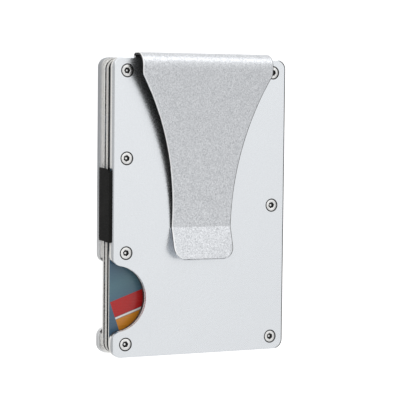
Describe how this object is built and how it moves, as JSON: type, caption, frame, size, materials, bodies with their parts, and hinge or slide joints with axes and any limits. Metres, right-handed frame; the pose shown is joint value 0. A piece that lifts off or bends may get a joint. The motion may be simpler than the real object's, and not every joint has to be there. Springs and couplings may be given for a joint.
{
  "type": "minimalist wallet",
  "caption": "Slim aluminium card wallet: two screwed metal halves joined by an elastic loop, with a spring money clip, a thumb notch and sliding cards.",
  "frame": {"origin": "middle of the width and of the whole length, clip included, on the rear face that it lies on", "axes": "+Z out of the front face with the money clip, +Y along the length towards the clip's bend, +X across the width, with the thumb notch at -X"},
  "size_m": [0.0552, 0.0878, 0.018],
  "materials": {
    "plate": "satin",
    "chassis": "satin",
    "clip": "fine grained",
    "screw": "bright",
    "elastic": "woven",
    "card_blue": "gloss",
    "card_pale": "gloss",
    "card_grey": "gloss",
    "chip": "satin"
  },
  "bodies": {
    "rear": {"rear_plate": "plate", "rear_chassis": "chassis", "rear_screws": "screw", "band_rear_run": "elastic", "band_left_span": "elastic", "band_right_span": "elastic"},
    "front": {"front_plate": "plate", "front_chassis": "chassis", "front_screws": "screw", "clip_tongue": "clip", "clip_screws": "screw", "band_front_run": "elastic"},
    "clip": {"clip_leg": "clip"},
    "card_1_body": {"card_1": "card_blue", "card_1_chip": "chip"},
    "card_2_body": {"card_2": "card_pale", "card_2_chip": "chip"},
    "card_3_body": {"card_3": "card_pale", "card_3_chip": "chip"},
    "card_4_body": {"card_4": "card_grey", "card_4_chip": "chip"},
    "card_5_body": {"card_5": "card_pale", "card_5_chip": "chip"}
  },
  "joints": [
    {"name": "plate_spread", "type": "slide", "parent": "rear", "child": "front", "axis": [0, 0, 1], "range_m": [0, 0.004], "stiffness_N_per_m": 900, "springref_m": -0.004, "deforming": ["band_left_span", "band_right_span"]},
    {"name": "clip_flex", "type": "hinge", "parent": "front", "child": "clip", "pos_m": [0, 0.0435, 0.0128], "axis": [-1, 0, 0], "range_deg": [0, 10], "stiffness_Nm_per_rad": 1, "springref_deg": -2.86},
    {"name": "card_1_slide", "type": "slide", "parent": "rear", "child": "card_1_body", "axis": [0, 1, 0], "range_m": [0, 0.05]},
    {"name": "card_2_slide", "type": "slide", "parent": "rear", "child": "card_2_body", "axis": [0, 1, 0], "range_m": [0, 0.05]},
    {"name": "card_3_slide", "type": "slide", "parent": "rear", "child": "card_3_body", "axis": [0, 1, 0], "range_m": [0, 0.05]},
    {"name": "card_4_slide", "type": "slide", "parent": "rear", "child": "card_4_body", "axis": [0, 1, 0], "range_m": [0, 0.05]},
    {"name": "card_5_slide", "type": "slide", "parent": "rear", "child": "card_5_body", "axis": [0, 1, 0], "range_m": [0, 0.05]}
  ]
}
